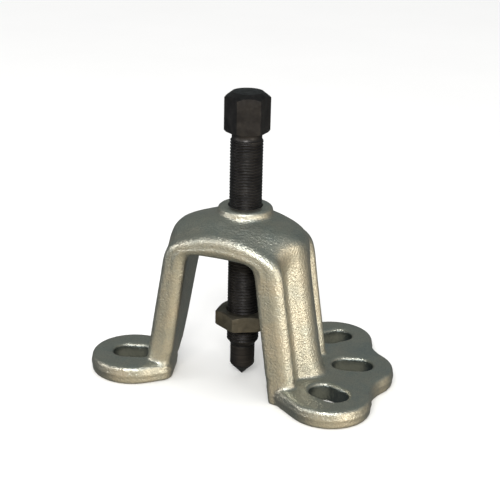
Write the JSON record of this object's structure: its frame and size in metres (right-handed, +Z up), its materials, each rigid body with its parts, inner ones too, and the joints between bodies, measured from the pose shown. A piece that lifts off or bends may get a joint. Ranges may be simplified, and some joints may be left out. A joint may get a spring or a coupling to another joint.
{
  "type": "gear puller",
  "caption": "Forged two-legged puller yoke with slotted hub feet, a hex-headed forcing screw through its boss, a jam nut and a conical centre point.",
  "frame": {"origin": "on the forcing screw's axis, level with the undersides of the two feet", "axes": "+Z up along the forcing screw towards its hex head, +X towards the middle slot of the three-slotted foot, so the single slot is on -X"},
  "size_m": [0.1517, 0.1054, 0.1452],
  "materials": {
    "zinc_plated_forging": "shot-blasted steel forging with zinc plating and a faint tan and blue-grey passivate",
    "black_oxide_steel": "black oxide, lightly oiled",
    "spring_wire": "bright drawn spring wire",
    "plain_nut_steel": "dark heat-treated steel with lighter worn edges"
  },
  "bodies": {
    "yoke": {"yoke": "zinc_plated_forging"},
    "point": {"centre_point": "black_oxide_steel", "point_retaining_ring": "spring_wire"},
    "screw": {"forcing_screw": "black_oxide_steel"},
    "nut": {"jam_nut": "plain_nut_steel"}
  },
  "joints": [
    {"name": "screw_travel", "type": "slide", "parent": "yoke", "child": "point", "axis": [0, 0, 1], "range_m": [-0.036, 0.0165]},
    {"name": "screw_turn", "type": "hinge", "parent": "point", "child": "screw", "pos_m": [0, 0, 0], "axis": [0, 0, 1], "range_deg": [-8641, 3961]},
    {"name": "nut_travel", "type": "slide", "parent": "screw", "child": "nut", "axis": [0, 0, 1], "range_m": [-0.0068, 0.015]}
  ],
  "couplings": [
    {"joint": "screw_turn", "follows": "screw_travel", "rad_per_m": 4188.8}
  ]
}
